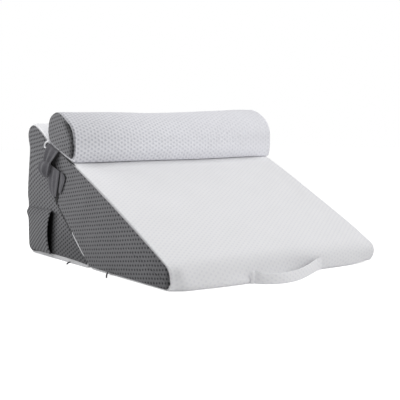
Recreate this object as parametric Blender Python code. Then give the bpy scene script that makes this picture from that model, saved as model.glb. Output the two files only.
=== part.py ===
"""Wedge pillow set: a front wedge cushion, a rear cushion that carries its high edge, and a roll
cushion laid across the slope near the top. Each cushion is a foam body in a white knit cover with
dark grey knit ends. A knotted grey tie hangs at the left, a pocket is sewn to the left side of the
rear cushion, and a carry strap is sewn to the low nose. Sizes are in metres, +Z is up, the nose
faces -Y, and the set stands on Z = 0 with the middle of its box over the origin.
"""

import math

import bmesh
import bpy
import numpy as np

# Driving sizes. Y runs from the nose's front face (0) to the back, before the set is centred.
WIDTH = 0.600
SLOPE_ANGLE = math.radians(25.3)
FRONT_FOOT = 0.317
BACK = 0.632
PANEL = 0.0025
GAP = 0.0004
SIDE_GAP = 0.0006
LIE_GAP = 0.0008
SIDE_SWELL = 0.004
TOP_CROWN = 0.004
DENT = 0.005
DENT_Y = 0.462
DENT_REACH = 0.055
SHOULDER = 0.006
MIDDLE_X = -0.0090
MIDDLE_Y = 0.2960
EDGE = WIDTH / 2 - PANEL - SIDE_GAP

# The slope's crown and dent act on the cover's top alone: above a line SKIN over the slope's own
# line, from the nose's lip to where the top turns down into the notch under the rear cushion.
SKIN = 0.020
SKIN_FADE = 0.020
LIP_TOP = 0.020
LIP_FADE = 0.050
NOTCH_START = 0.500
NOTCH_FADE = 0.100
# The back wall's swell starts above its foot arc.
WALL_START = 0.600
WALL_FADE = 0.030
WALL_FOOT = 0.050

# Side outlines, anticlockwise seen from the right. Each row is a corner of the outline with its
# arc's radius, and the bow is how far the edge that leaves the corner is pushed out in its middle.
OUTLINE = ("y", "z", "radius", "bow")
FRONT_OUTLINE = (
    (0.004, 0.000, 0.012, 0.0),
    (FRONT_FOOT - 0.0005, 0.000, 0.008, 0.0),
    (0.4832, 0.146, 0.100, 0.0),
    (0.5225, 0.2915, 0.016, 0.0085),
    (-0.006, 0.0440, 0.020, 0.002),
)
REAR_OUTLINE = (
    (FRONT_FOOT + 0.0005, 0.000, 0.008, 0.0),
    (BACK + 0.003, 0.000, 0.030, 0.004),
    (BACK - 0.006, 0.268, 0.060, 0.0),
    (BACK + 0.004, 0.3540, 0.026, 0.003),
    (0.5235, 0.2900, 0.014, 0.0),
    (0.4842, 0.1460, 0.100, 0.0),
)
FRONT_PANEL = (
    (0.006, 0.003, 0.012, 0.0),
    (FRONT_FOOT, 0.006, 0.006, 0.0),
    (0.4810, 0.148, 0.100, 0.0),
    (0.5190, 0.2870, 0.016, 0.0080),
    (0.000, 0.0435, 0.018, 0.001),
)
REAR_PANEL = (
    (FRONT_FOOT + 0.006, 0.008, 0.006, 0.0),
    (BACK + 0.001, 0.008, 0.028, 0.003),
    (BACK - 0.009, 0.268, 0.060, 0.0),
    (BACK + 0.002, 0.3490, 0.026, 0.002),
    (0.5265, 0.2890, 0.014, 0.0),
    (0.4865, 0.1470, 0.100, 0.0),
)
# The roll's section, measured along the slope and square to it from the line it lies on.
ROLL_OUTLINE = (
    (-0.064, 0.000, 0.014, 0.0),
    (0.068, 0.000, 0.022, 0.002),
    (0.092, 0.050, 0.028, 0.0),
    (0.056, 0.087, 0.040, 0.001),
    (-0.036, 0.082, 0.046, 0.003),
)
ROLL_SEAT_Y = 0.452
ROLL_SEAT_Z = 0.2605
# The roll thickens from a little left of its middle to its right end, less along the slope than up.
ROLL_GROWTH = 0.12
ROLL_GROWTH_START = -0.060
ROLL_GROWTH_POWER = 1.2
ROLL_GROWTH_ALONG = 0.75
ROLL_SAG = 0.002
ROLL_SAG_HEIGHT = 0.060

# The point that each side's grey panel and cushion end swell around, and how far the swell reaches.
FRONT_SWELL = {"y": 0.300, "z": 0.120, "reach_y": 0.36, "reach_z": 0.22}
REAR_SWELL = {"y": 0.560, "z": 0.160, "reach_y": 0.26, "reach_z": 0.26}
ROLL_SWELL = {"y": 0.452, "z": 0.305, "reach_y": 0.10, "reach_z": 0.085}
ROLL_END_SWELL = 0.007

# The nose's cover stands forward left of the strap, low down.
NOSE_BULGE = 0.016
NOSE_BULGE_X = -0.165
NOSE_BULGE_REACH = 0.085
NOSE_BULGE_TOP = 0.060
NOSE_DEPTH = 0.060

# Side pocket on the rear cushion's left side: sewn at the back and along its foot and top, open
# at the front edge, which gapes.
POCKET_FRONT = 0.503
POCKET_FOOT = 0.010
POCKET_TOP = 0.121
POCKET_SLANT = 0.005
POCKET_GAPE = 0.016
POCKET_CLOTH = 0.002
POCKET_CORNER = 0.006
POCKET_CORNER_PLACE = 0.88
POCKET_CORNER_REACH = 0.13
POCKET_GRID = (9, 11)

# Carry strap: a flat knit band between two sewn ends on the nose, bulging forward and down.
STRAP_LEFT = -0.112
STRAP_RIGHT = 0.112
STRAP_SEWN = 0.016
STRAP_BULGE = 0.040
STRAP_CLOTH = 0.004
STRAP_FOOT = 0.0015
STRAP_LIFT = 0.002
STRAP_LOW_HEIGHT = 0.023
STRAP_HIGH_RISE = 0.006
STRAP_SEWN_RINGS = 3
STRAP_FREE_RINGS = 15
STRAP_SIDES = 10

# The tie's pieces, each a flat band through the rows from its upper to its lower end. The tilt
# turns the band's width out of the level line, in degrees; the offset is its distance from the
# side of the cushions.
TIE = ("y", "z", "offset", "width", "tilt", "thickness")
TIE_PIECES = {
    "tie_band": (
        (0.4910, 0.2783, 0.0045, 0.062, 25.3, 0.003),
        (0.4950, 0.2680, 0.0095, 0.058, 22.0, 0.003),
        (0.5010, 0.2560, 0.0135, 0.048, 20.0, 0.004),
        (0.5030, 0.2470, 0.0150, 0.040, 17.0, 0.005),
        (0.5030, 0.2410, 0.0150, 0.034, 15.0, 0.006),
    ),
    "tie_knot": (
        (0.5030, 0.2404, 0.0160, 0.030, 15.0, 0.006),
        (0.5040, 0.2330, 0.0175, 0.040, 8.0, 0.013),
        (0.5100, 0.2240, 0.0170, 0.046, 0.0, 0.016),
        (0.5180, 0.2130, 0.0150, 0.040, -12.0, 0.014),
        (0.5230, 0.2040, 0.0120, 0.024, -20.0, 0.008),
    ),
    "tie_long_end": (
        (0.4760, 0.2290, 0.0090, 0.040, 18.0, 0.004),
        (0.4760, 0.2180, 0.0085, 0.046, 12.0, 0.003),
        (0.4810, 0.2020, 0.0075, 0.044, 0.0, 0.003),
        (0.4810, 0.1860, 0.0065, 0.036, -10.0, 0.003),
        (0.4770, 0.1720, 0.0055, 0.022, -20.0, 0.003),
        (0.4730, 0.1620, 0.0045, 0.008, -25.0, 0.003),
    ),
    "tie_short_end": (
        (0.4400, 0.2130, 0.0052, 0.020, 30.0, 0.003),
        (0.4380, 0.2020, 0.0052, 0.024, 40.0, 0.003),
        (0.4400, 0.1880, 0.0054, 0.018, 50.0, 0.003),
        (0.4460, 0.1740, 0.0054, 0.006, 50.0, 0.003),
    ),
}
TIE_COLUMNS = 6

# Two small pull tabs on the foot seam of the left side.
TAB = ("start_y", "end_y", "reach", "start_z", "end_z")
TABS = {
    "pull_tab_front": (0.2460, 0.2290, 0.0150, 0.0045, 0.0020),
    "pull_tab_rear": (0.4200, 0.4090, 0.0130, 0.0092, 0.0040),
}
TAB_WIDTH = 0.0045
TAB_THICK = 0.0015
TAB_TAPER = 0.3
TAB_SIDES = 8

# How finely each shape is cut, and the angle in degrees up to which its faces shade as one.
SMOOTH_LOFT = 50.0
SMOOTH_SHEET = 40.0
ARC_STEPS = 4
EDGE_STEP = 0.038
PANEL_RINGS = (0.25, 0.5, 0.75, 0.93)
BODY_RINGS = (0.3, 0.6, 0.85)
# A cushion's corner between its wrap and its end, as shares of the shoulder: how far each ring
# stands back from the end, and how deep it is drawn in.
SHOULDER_RINGS = ((0.25, 0.7), (1.0, 0.25))
SHOULDER_START = 2.2
FRONT_STATIONS = 17
REAR_STATIONS = 15
ROLL_STATIONS = 17

# Colour, roughness and metallic value of each cloth.
WHITE_KNIT = ("white knit", (0.80, 0.81, 0.83), 0.92)
GREY_KNIT = ("grey knit", (0.125, 0.125, 0.132), 0.94)
TIE_CLOTH = ("grey tie cloth", (0.090, 0.088, 0.096), 0.90)
TAB_METAL = ("dark tab", (0.050, 0.050, 0.055), 0.55)


def material(finish):
    """A plain surface of one colour for a cloth."""
    name, colour, roughness = finish
    made = bpy.data.materials.new(name)
    made.use_nodes = True
    shader = made.node_tree.nodes["Principled BSDF"]
    shader.inputs["Base Color"].default_value = (*colour, 1.0)
    shader.inputs["Roughness"].default_value = roughness
    shader.inputs["Metallic"].default_value = 0.0
    return made


def centred(points):
    """The points moved so that the middle of the set's box stands over the origin."""
    return np.asarray(points, float) - np.array((MIDDLE_X, MIDDLE_Y, 0.0))


def solid(name, points, faces, finish, smooth_angle):
    """A closed mesh object in triangles with its faces turned out, smooth below an angle."""
    mesh = bpy.data.meshes.new(name)
    mesh.from_pydata(centred(points).tolist(), [], faces)
    work = bmesh.new()
    work.from_mesh(mesh)
    bmesh.ops.triangulate(work, faces=work.faces[:])
    bmesh.ops.recalc_face_normals(work, faces=work.faces[:])
    work.to_mesh(mesh)
    work.free()
    mesh.shade_smooth()
    mesh.set_sharp_from_angle(angle=math.radians(smooth_angle))
    mesh.materials.append(material(finish))
    made = bpy.data.objects.new(name, mesh)
    bpy.context.scene.collection.objects.link(made)
    return made


def loft(name, rings, finish):
    """A closed body through rings of equal length; the first and last ring close to their middles."""
    count = len(rings[0])
    points = np.concatenate([*rings, [rings[0].mean(axis=0)], [rings[-1].mean(axis=0)]])
    faces = []
    for row in range(len(rings) - 1):
        for i in range(count):
            j = (i + 1) % count
            a, b = row * count, (row + 1) * count
            faces.append((a + i, a + j, b + j, b + i))
    first, last = len(rings) * count, len(rings) * count + 1
    end = (len(rings) - 1) * count
    for i in range(count):
        j = (i + 1) % count
        faces.append((first, j, i))
        faces.append((last, end + i, end + j))
    return solid(name, points, faces, finish, SMOOTH_LOFT)


def outline(rows):
    """Points round an outline: an arc at each corner, and each edge bowed out by a parabola."""
    rows = [dict(zip(OUTLINE, row)) for row in rows]
    spots = [np.array((row["y"], row["z"])) for row in rows]
    arcs = []
    for i, row in enumerate(rows):
        here, before, after = spots[i], spots[i - 1], spots[(i + 1) % len(rows)]
        back = (before - here) / np.linalg.norm(before - here)
        on = (after - here) / np.linalg.norm(after - here)
        half = math.acos(float(np.clip(back @ on, -1.0, 1.0))) / 2
        reach = row["radius"] / math.tan(half)
        middle = here + (back + on) / np.linalg.norm(back + on) * row["radius"] / math.sin(half)
        start, stop = here + back * reach, here + on * reach
        a = math.atan2(*(start - middle)[::-1])
        b = math.atan2(*(stop - middle)[::-1])
        turn = (b - a + math.pi) % (2 * math.pi) - math.pi
        angles = a + turn * np.linspace(0.0, 1.0, ARC_STEPS + 1)
        arcs.append(middle + row["radius"] * np.stack((np.cos(angles), np.sin(angles)), axis=1))
    points = []
    for i, row in enumerate(rows):
        points.extend(arcs[i])
        start, stop = arcs[i][-1], arcs[(i + 1) % len(rows)][0]
        span = stop - start
        parts = max(2, round(float(np.linalg.norm(span)) / EDGE_STEP))
        out = np.array((span[1], -span[0])) / np.linalg.norm(span)
        for t in np.arange(1, parts) / parts:
            points.append(start + t * span + out * row["bow"] * 4 * t * (1 - t))
    return np.array(points)


def drawn_in(points, depth):
    """The outline moved inwards by a depth, square to its edges."""
    along = np.roll(points, -1, axis=0) - np.roll(points, 1, axis=0)
    inward = np.stack((-along[:, 1], along[:, 0]), axis=1)
    inward /= np.linalg.norm(inward, axis=1, keepdims=True)
    return points + inward * depth


def swell(points, place, height):
    """How far a side stands out: most at the place's middle, falling away as a parabola."""
    far = ((points[:, 0] - place["y"]) / place["reach_y"]) ** 2
    far = far + ((points[:, 1] - place["z"]) / place["reach_z"]) ** 2
    return height * np.clip(1.0 - far, 0.0, 1.0)


def shrunk(points, share, place):
    """The outline scaled about the place's middle."""
    middle = np.array((place["y"], place["z"]))
    return middle + (points - middle) * share


def ring_at(points, x):
    """An outline as points in space; x is one number or one for each point."""
    return np.column_stack((np.broadcast_to(x, len(points)), points))


def nose_bulge(x):
    """How far the nose stands forward at each x, a bell round the bulge's middle."""
    return NOSE_BULGE * np.exp(-(((x - NOSE_BULGE_X) / NOSE_BULGE_REACH) ** 2))


def above_skin(points):
    """How far points lie above the line that parts the slope's cover from the body under it."""
    return points[:, 1] - (points[:, 0] * math.tan(SLOPE_ANGLE) + SKIN)


def front_section(points, x, across):
    """The front cushion's section: the slope crowned across the width, and the nose bulged."""
    made = points.copy()
    crowned = np.clip((made[:, 1] - LIP_TOP) / LIP_FADE, 0.0, 1.0)
    crowned = crowned * np.clip((NOTCH_START - made[:, 0]) / NOTCH_FADE, 0.0, 1.0)
    on_top = np.clip(above_skin(made) / SKIN_FADE, 0.0, 1.0)
    made[:, 1] += TOP_CROWN * (1.0 - across**2) * crowned * on_top
    made[:, 1] -= DENT * np.exp(-(((made[:, 0] - DENT_Y) / DENT_REACH) ** 2)) * on_top
    low = np.clip(1.0 - made[:, 1] / NOSE_BULGE_TOP, 0.0, 1.0)
    low = low * np.clip(1.0 - made[:, 0] / NOSE_DEPTH, 0.0, 1.0)
    made[:, 0] -= nose_bulge(x) * low * (1.0 - across**8)
    return made


def rear_section(points, x, across):
    """The rear cushion's section: the back wall swells slightly in the middle of the width."""
    made = points.copy()
    wall = np.clip((made[:, 0] - WALL_START) / WALL_FADE, 0.0, 1.0)
    wall = wall * np.clip(made[:, 1] / WALL_FOOT, 0.0, 1.0)
    made[:, 0] += TOP_CROWN * (1.0 - across**2) * wall
    return made


def slope_top(x, y):
    """The height of the front cushion's slope, read from its own section at that x."""
    top = front_section(outline(FRONT_OUTLINE), x, x / EDGE)
    top = top[above_skin(top) > 0.0]
    top = top[np.argsort(top[:, 0])]
    return np.interp(y, top[:, 0], top[:, 1])


def roll_section(points, x, across):
    """The roll's section in the side plane: it lies on the slope and thickens to the right."""
    share = np.clip((x - ROLL_GROWTH_START) / WIDTH * 2, 0.0, 1.0) ** ROLL_GROWTH_POWER
    along = points[:, 0] * (1.0 + ROLL_GROWTH * share * ROLL_GROWTH_ALONG)
    up = points[:, 1] * (1.0 + ROLL_GROWTH * share)
    up = up - ROLL_SAG * (1.0 - across**2) * np.clip(up / ROLL_SAG_HEIGHT, 0.0, 1.0)
    c, s = math.cos(SLOPE_ANGLE), math.sin(SLOPE_ANGLE)
    y, z = ROLL_SEAT_Y + along * c - up * s, ROLL_SEAT_Z + along * s + up * c
    return np.stack((y, np.maximum(z, slope_top(x, y) + LIE_GAP)), axis=1)


def filled(name, rows, section, stations, place, height, finish):
    """A filled cushion: sections from side to side, drawn in at the shoulders, with swelling ends.
    Its rings run from the left end's middle out to its rim, along the body and back the same way.
    """
    base = outline(rows)
    body = np.linspace(-1.0, 1.0, stations) * (EDGE - SHOULDER_START * SHOULDER)
    corner = [(EDGE - back * SHOULDER, depth * SHOULDER) for back, depth in SHOULDER_RINGS]
    steps = [(-x, depth) for x, depth in corner] + [(x, 0.0) for x in body] + corner[::-1]
    along = [ring_at(section(drawn_in(base, depth), x, x / EDGE), x) for x, depth in steps]
    ends = []
    for side in (-1.0, 1.0):
        flat = section(drawn_in(base, SHOULDER), side * EDGE, 1.0)
        rings = [shrunk(flat, share, place) for share in BODY_RINGS] + [flat]
        ends.append([ring_at(ring, side * (EDGE + swell(ring, place, height))) for ring in rings])
    return loft(name, ends[0] + along + ends[1][::-1], finish)


def side_panel(name, rows, section, side, place, height, finish):
    """A thin knit panel over a cushion's end, following its swell at an even gap."""
    base = section(outline(rows), side * EDGE, 1.0)
    shares = (*PANEL_RINGS, 1.0)
    rings = []
    for face, order in ((EDGE + SIDE_GAP, shares), (EDGE + SIDE_GAP + PANEL, shares[::-1])):
        for share in order:
            points = shrunk(base, share, place)
            rings.append(ring_at(points, side * (face + swell(points, place, height))))
    return loft(name, rings, finish)


def side_pocket():
    """The pocket's cloth: a sheet sewn on three sides whose front edge bows away from the side.
    Its back edge follows the side panel's outline and stands out in a small corner at the top.
    """
    across, up = np.meshgrid(*(np.linspace(0.0, 1.0, count) for count in POCKET_GRID), indexing="ij")
    height = POCKET_FOOT + (POCKET_TOP - POCKET_FOOT) * up - POCKET_SLANT * across * up
    edge = outline(REAR_PANEL)
    edge = edge[edge[:, 0] > WALL_START]
    edge = edge[np.argsort(edge[:, 1])]
    back = np.interp(height, edge[:, 1], edge[:, 0])
    back = back + POCKET_CORNER * np.exp(-(((up - POCKET_CORNER_PLACE) / POCKET_CORNER_REACH) ** 2))
    y = POCKET_FRONT + (back - POCKET_FRONT) * across
    lift = POCKET_GAPE * np.sin(math.pi * up) ** 0.8 * (1.0 - across**1.3)
    points = np.stack((y, height), axis=2)
    wall = EDGE + SIDE_GAP + PANEL + GAP
    flat = points.reshape(-1, 2)
    under = -(wall + swell(flat, REAR_SWELL, SIDE_SWELL)).reshape(y.shape) - lift
    return points, under


def sheet_body(name, points, under, thickness, finish):
    """A closed sheet: a grid of points on its under face and the same grid one thickness further out."""
    rows, columns = under.shape
    near = np.dstack((under, points))
    far = np.dstack((under - thickness, points))
    grid = np.concatenate((near.reshape(-1, 3), far.reshape(-1, 3)))
    count = rows * columns
    faces = []
    for i in range(rows - 1):
        for j in range(columns - 1):
            a, b = i * columns + j, (i + 1) * columns + j
            faces.append((a, b, b + 1, a + 1))
            faces.append((count + a, count + a + 1, count + b + 1, count + b))
    rim = list(range(columns))
    rim += [i * columns + columns - 1 for i in range(1, rows)]
    rim += [(rows - 1) * columns + j for j in range(columns - 2, -1, -1)]
    rim += [i * columns for i in range(rows - 2, 0, -1)]
    for a, b in zip(rim, rim[1:] + rim[:1]):
        faces.append((a, b, count + b, count + a))
    return solid(name, grid, faces, finish, SMOOTH_SHEET)


def nose_face(x, z):
    """The nose's front face at a height: its arc below and its leaning wall above, with the bulge."""
    base = outline(FRONT_OUTLINE)
    low = base[base[:, 0] < NOSE_DEPTH]
    low = low[np.argsort(low[:, 1])]
    forward = np.interp(z, low[:, 1], low[:, 0])
    share = np.clip(1.0 - z / NOSE_BULGE_TOP, 0.0, 1.0)
    return forward - nose_bulge(x) * share


def carry_strap():
    """The strap: an upright band whose ends lie flat on the nose and whose middle bulges forward.
    Each section is an ellipse as thick as the cloth; the bulge is a sine arch between the sewn ends.
    """
    sewn_left, sewn_right = STRAP_LEFT + STRAP_SEWN, STRAP_RIGHT - STRAP_SEWN
    free = np.linspace(sewn_left, sewn_right, STRAP_FREE_RINGS)
    left = np.linspace(STRAP_LEFT, sewn_left, STRAP_SEWN_RINGS)[:-1]
    right = np.linspace(sewn_right, STRAP_RIGHT, STRAP_SEWN_RINGS)[1:]
    angles = np.linspace(0.0, 2 * math.pi, STRAP_SIDES, endpoint=False) + math.pi / STRAP_SIDES
    rings = []
    for x in np.concatenate((left, free, right)):
        between = min(max((x - sewn_left) / (sewn_right - sewn_left), 0.0), 1.0)
        bulge = STRAP_BULGE * math.sin(math.pi * between**0.85) ** 0.9
        share = (x - STRAP_LEFT) / (STRAP_RIGHT - STRAP_LEFT)
        foot = STRAP_FOOT + STRAP_LIFT * share**3
        top = foot + STRAP_LOW_HEIGHT + STRAP_HIGH_RISE * share**2
        back = float(np.min(nose_face(x, np.linspace(foot, top, 7)))) - GAP - STRAP_CLOTH / 2 - bulge
        y = back + STRAP_CLOTH / 2 * np.cos(angles)
        z = (foot + top) / 2 + (top - foot) / 2 * np.sin(angles)
        rings.append(ring_at(np.column_stack((y, z)), x))
    return loft("carry_strap", rings, WHITE_KNIT)


def tie_piece(name, rows):
    """A flat band of the tie: rounded sections whose width lies along the side of the cushions."""
    rings = []
    angles = np.linspace(0.0, 2 * math.pi, 2 * TIE_COLUMNS, endpoint=False)
    for row in (dict(zip(TIE, row)) for row in rows):
        tilt = math.radians(row["tilt"])
        along = row["width"] / 2 * np.cos(angles)
        thick = row["thickness"] / 2 * np.sign(np.sin(angles)) * np.abs(np.sin(angles)) ** 0.6
        x = -(WIDTH / 2 + row["offset"]) - thick
        y = row["y"] + along * math.cos(tilt)
        z = row["z"] + along * math.sin(tilt)
        rings.append(np.column_stack((x, y, z)))
    return loft(name, rings, TIE_CLOTH)


def pull_tab(name, row):
    """A small flat tab that lies outwards from the foot seam."""
    row = dict(zip(TAB, row))
    seam = np.array(((row["start_y"], row["start_z"]),))
    place = FRONT_SWELL if row["start_y"] < FRONT_FOOT else REAR_SWELL
    start = -(WIDTH / 2 + GAP + float(swell(seam, place, SIDE_SWELL)[0]))
    angles = np.linspace(0.0, 2 * math.pi, TAB_SIDES, endpoint=False)
    rings = []
    for share in (0.0, 0.5, 1.0):
        half = TAB_WIDTH / 2 * (1.0 - TAB_TAPER * share)
        y = row["start_y"] + (row["end_y"] - row["start_y"]) * share + half * np.cos(angles)
        z = row["start_z"] + (row["end_z"] - row["start_z"]) * share
        z = z + TAB_THICK / 2 * np.sin(angles)
        rings.append(ring_at(np.column_stack((y, z)), start - row["reach"] * share))
    return loft(name, rings, TAB_METAL)


for old in list(bpy.data.objects):
    bpy.data.objects.remove(old, do_unlink=True)

filled(
    "front_cushion", FRONT_OUTLINE, front_section, FRONT_STATIONS,
    FRONT_SWELL, SIDE_SWELL, WHITE_KNIT,
)
filled(
    "rear_cushion", REAR_OUTLINE, rear_section, REAR_STATIONS,
    REAR_SWELL, SIDE_SWELL, WHITE_KNIT,
)
filled(
    "roll_cushion", ROLL_OUTLINE, roll_section, ROLL_STATIONS,
    ROLL_SWELL, ROLL_END_SWELL, WHITE_KNIT,
)
for word, side in (("left", -1.0), ("right", 1.0)):
    side_panel(
        "front_side_" + word, FRONT_PANEL, front_section, side,
        FRONT_SWELL, SIDE_SWELL, GREY_KNIT,
    )
    side_panel(
        "rear_side_" + word, REAR_PANEL, rear_section, side,
        REAR_SWELL, SIDE_SWELL, GREY_KNIT,
    )
    side_panel(
        "roll_end_" + word, ROLL_OUTLINE, roll_section, side,
        ROLL_SWELL, ROLL_END_SWELL, GREY_KNIT,
    )
pocket_points, pocket_under = side_pocket()
sheet_body("side_pocket", pocket_points, pocket_under, POCKET_CLOTH, GREY_KNIT)
carry_strap()
for piece, piece_rows in TIE_PIECES.items():
    tie_piece(piece, piece_rows)
for tab, tab_row in TABS.items():
    pull_tab(tab, tab_row)
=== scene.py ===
import math

import bmesh
import bpy
import numpy as np
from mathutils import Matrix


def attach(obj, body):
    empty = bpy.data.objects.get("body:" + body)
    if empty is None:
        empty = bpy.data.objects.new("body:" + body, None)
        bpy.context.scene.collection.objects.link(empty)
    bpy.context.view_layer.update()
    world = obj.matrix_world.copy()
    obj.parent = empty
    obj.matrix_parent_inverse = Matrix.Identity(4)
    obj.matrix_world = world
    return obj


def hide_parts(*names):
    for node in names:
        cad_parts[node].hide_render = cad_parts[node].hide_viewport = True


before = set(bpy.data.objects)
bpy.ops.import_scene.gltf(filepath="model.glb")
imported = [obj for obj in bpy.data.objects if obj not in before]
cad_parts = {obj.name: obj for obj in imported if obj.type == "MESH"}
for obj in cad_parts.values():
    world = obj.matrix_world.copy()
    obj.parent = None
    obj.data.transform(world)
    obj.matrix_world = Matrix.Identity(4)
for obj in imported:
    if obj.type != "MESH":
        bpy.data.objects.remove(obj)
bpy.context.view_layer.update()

# Front cushion. A foam wedge in a cover of white air-layer knit, whose jacquard machine pulls small
# pits into a soft, thick cloth. One band of it wraps the slope, nose, foot and joint, and is sewn to
# the grey ends. Y is measured from the nose and X from the width's middle until placed() moves it.
WIDTH = 0.600
PANEL = 0.0025
SIDE_GAP = 0.0006
EDGE = WIDTH / 2 - PANEL - SIDE_GAP
SLOPE_ANGLE = math.radians(25.3)
FRONT_FOOT = 0.317
MIDDLE = np.array((-0.0090, 0.2960, 0.0))
# Side outline, anticlockwise from the foot of the joint: each corner's y, z and arc radius, and how
# far the edge that leaves it is bowed out.
FRONT_OUTLINE = (
    (FRONT_FOOT - 0.0005, 0.000, 0.008, 0.0),
    (0.4832, 0.146, 0.100, 0.0),
    (0.5225, 0.2915, 0.016, 0.0085),
    (-0.006, 0.0440, 0.020, 0.002),
    (0.003, 0.000, 0.005, 0.0),
)
CELL = 0.0070
# Points round a corner's arc and along an edge, before the outline is spaced evenly.
ARC_POINTS = 13
EDGE_POINTS = 42
SHOULDER = 0.0032
FOOT_DRAWN = 0.15
FOOT_DRAWN_TOP = 0.030
# How much further the cushions reach at their right ends, and the stretch of x that takes it up.
LONGER = 0.004
LONGER_X = (0.100, 0.280)
SHOULDER_TURNS = np.radians((22.5, 45.0, 67.5, 90.0))
END_SHARES = (0.93, 0.8, 0.6, 0.4, 0.2)
TOP_CROWN = 0.004
DENT = 0.0105
DENT_Y = 0.462
DENT_REACH = 0.058
SKIN = 0.020
LIP_TOP = 0.020
LIP_FADE = 0.050
NOTCH_START = 0.500
NOTCH_FADE = 0.100
NOSE_BULGE = 0.016
NOSE_BULGE_X = -0.130
NOSE_BULGE_REACH = 0.110
NOSE_BULGE_TOP = 0.060
NOSE_DEPTH = 0.060
# The nose's foot is squashed forward at the left, by its weight.
NOSE_SPREAD = 0.020
NOSE_SPREAD_TOP = 0.036
NOSE_SPREAD_LEFT = (-0.298, -0.262)
NOSE_SPREAD_RIGHT = (-0.060, 0.120)
# The slope's right end is filled a little fuller, most of all high up.
RIGHT_RISE = 0.002
RIGHT_RISE_Y = (0.000, 0.080)
RIGHT_RISE_HIGH = 0.006
RIGHT_RISE_HIGH_Y = (0.160, 0.440)
RIGHT_RISE_X = (0.020, 0.290)
RIGHT_RISE_END_Y = (0.470, 0.515)
NOSE_LIFT = 0.005
NOSE_LIFT_X = (0.215, 0.300)
NOSE_LIFT_TOP = 0.030
FRONT_SWELL = {"y": 0.300, "z": 0.120, "reach_y": 0.36, "reach_z": 0.22, "height": 0.004}
PUFF = 0.0035
CLOTH_FRAMES = 20
CLOTH_PRESSURE = 4.0
LOOSE_FOOT_Z = (0.003, 0.030)
LOOSE_SIDE = (0.003, 0.060)
HELD_UNDER_ROLL_Y = (0.330, 0.385)
HELD_AT_JOINT_Y = (0.150, 0.200)
# The pits lie in a triangular lattice, in rows this far apart, which is 0.87 of the pits' pitch.
PIT_ROWS = 0.0090
# The patterns' scales are in turns to a metre: rows stray over 22 mm, loops of yarn lie 2 mm apart
# and tones change over 70 mm.
STRAY = 0.0026
STRAY_SCALE = 45.0
LOOP_HEIGHT = 0.00022
LOOP_SCALE = 480.0
MOTTLE_SCALE = 14.0
SHEEN = 0.15
SLOPE_TURN = math.radians(-54.5)
WHITE_YARN = "#F1F1F3"
# The pits' colour is painted shade: a little darker, for the shade that falls in them.
WHITE_PIT_SHADE = "#E9E9ED"
# Where less light reaches the slope: a bell has its middle and reach, a step its start and stop.
CREASE_SHADE = 0.20
CREASE_X = (-0.284, 0.013)
CREASE_Y = (0.0, 0.030)
CREASE_Z = (0.034, 0.014)
NOSE_SHADE = 0.095
NOSE_SHADE_Y = (-0.014, 0.020)
UNDER_ROLL_SHADE = 0.22
UNDER_ROLL_START_Y = (0.366, 0.390)
UNDER_ROLL_STOP_Y = (0.400, 0.420)
UNDER_ROLL_SIDE = (0.000, 0.060)


def placed(points):
    """Points measured from the nose and the width's middle, moved to the frame's origin."""
    return np.asarray(points, float) - MIDDLE


def closed(rings):
    """Closed rings of points with each ring's first point repeated as its last."""
    return np.concatenate((rings, rings[..., :1, :]), axis=-2)


def run(path):
    """The length along a path up to each of its points, from 0."""
    return np.concatenate(((0.0,), np.cumsum(np.linalg.norm(np.diff(path, axis=0), axis=1))))


def outline(rows, step):
    """A closed outline, evenly spaced: arcs round the corners, and between them edges bowed out by
    4 * bow * t * (1 - t), with t running from 0 to 1 along the edge."""
    spots = np.array([row[:2] for row in rows])
    arcs = []
    for i, (_, _, radius, _) in enumerate(rows):
        back = spots[i - 1] - spots[i]
        on = spots[(i + 1) % len(rows)] - spots[i]
        back, on = back / np.linalg.norm(back), on / np.linalg.norm(on)
        half = math.acos(float(back @ on)) / 2
        middle = spots[i] + (back + on) / np.linalg.norm(back + on) * radius / math.sin(half)
        start, stop = (spots[i] + way * radius / math.tan(half) - middle for way in (back, on))
        first = math.atan2(start[1], start[0])
        turn = (math.atan2(stop[1], stop[0]) - first + math.pi) % (2 * math.pi) - math.pi
        angles = first + turn * np.linspace(0.0, 1.0, ARC_POINTS)
        arcs.append(middle + radius * np.stack((np.cos(angles), np.sin(angles)), axis=1))
    parts = []
    for i, row in enumerate(rows):
        start, stop = arcs[i][-1], arcs[(i + 1) % len(rows)][0]
        t = np.linspace(0.0, 1.0, EDGE_POINTS)[1:-1, None]
        out = np.array((stop[1] - start[1], start[0] - stop[0])) / np.linalg.norm(stop - start)
        parts += [arcs[i], start + t * (stop - start) + out * row[3] * 4 * t * (1 - t)]
    loop = closed(np.concatenate(parts))
    length = run(loop)
    even = np.linspace(0.0, length[-1], round(length[-1] / step) + 1)[:-1]
    return np.stack([np.interp(even, length, loop[:, axis]) for axis in (0, 1)], axis=1)


def inward(points):
    """Unit vectors into a closed outline: each is square to the line between its neighbours."""
    along = np.roll(points, -1, axis=0) - np.roll(points, 1, axis=0)
    normal = np.stack((-along[:, 1], along[:, 0]), axis=1)
    return normal / np.linalg.norm(normal, axis=1, keepdims=True)


def swell(points, place):
    """How far an end stands out: its height at its middle, falling off as a parabola."""
    far = ((points[..., 0] - place["y"]) / place["reach_y"]) ** 2
    far = far + ((points[..., 1] - place["z"]) / place["reach_z"]) ** 2
    return place["height"] * np.clip(1.0 - far, 0.0, 1.0)


def bell(value, middle, reach):
    """exp(-((value - middle) / reach) ^ 2), a soft hump one high."""
    return np.exp(-(((value - middle) / reach) ** 2))


def fade(value, start, stop):
    """0 before start and 1 after stop, with a smooth step t * t * (3 - 2 * t) between."""
    t = np.clip((value - start) / (stop - start), 0.0, 1.0)
    return t * t * (3.0 - 2.0 * t)


def above_skin(points):
    """How far points lie above the line that parts the slope's cover from the body under it."""
    return points[..., 1] - (points[..., 0] * math.tan(SLOPE_ANGLE) + SKIN)


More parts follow.
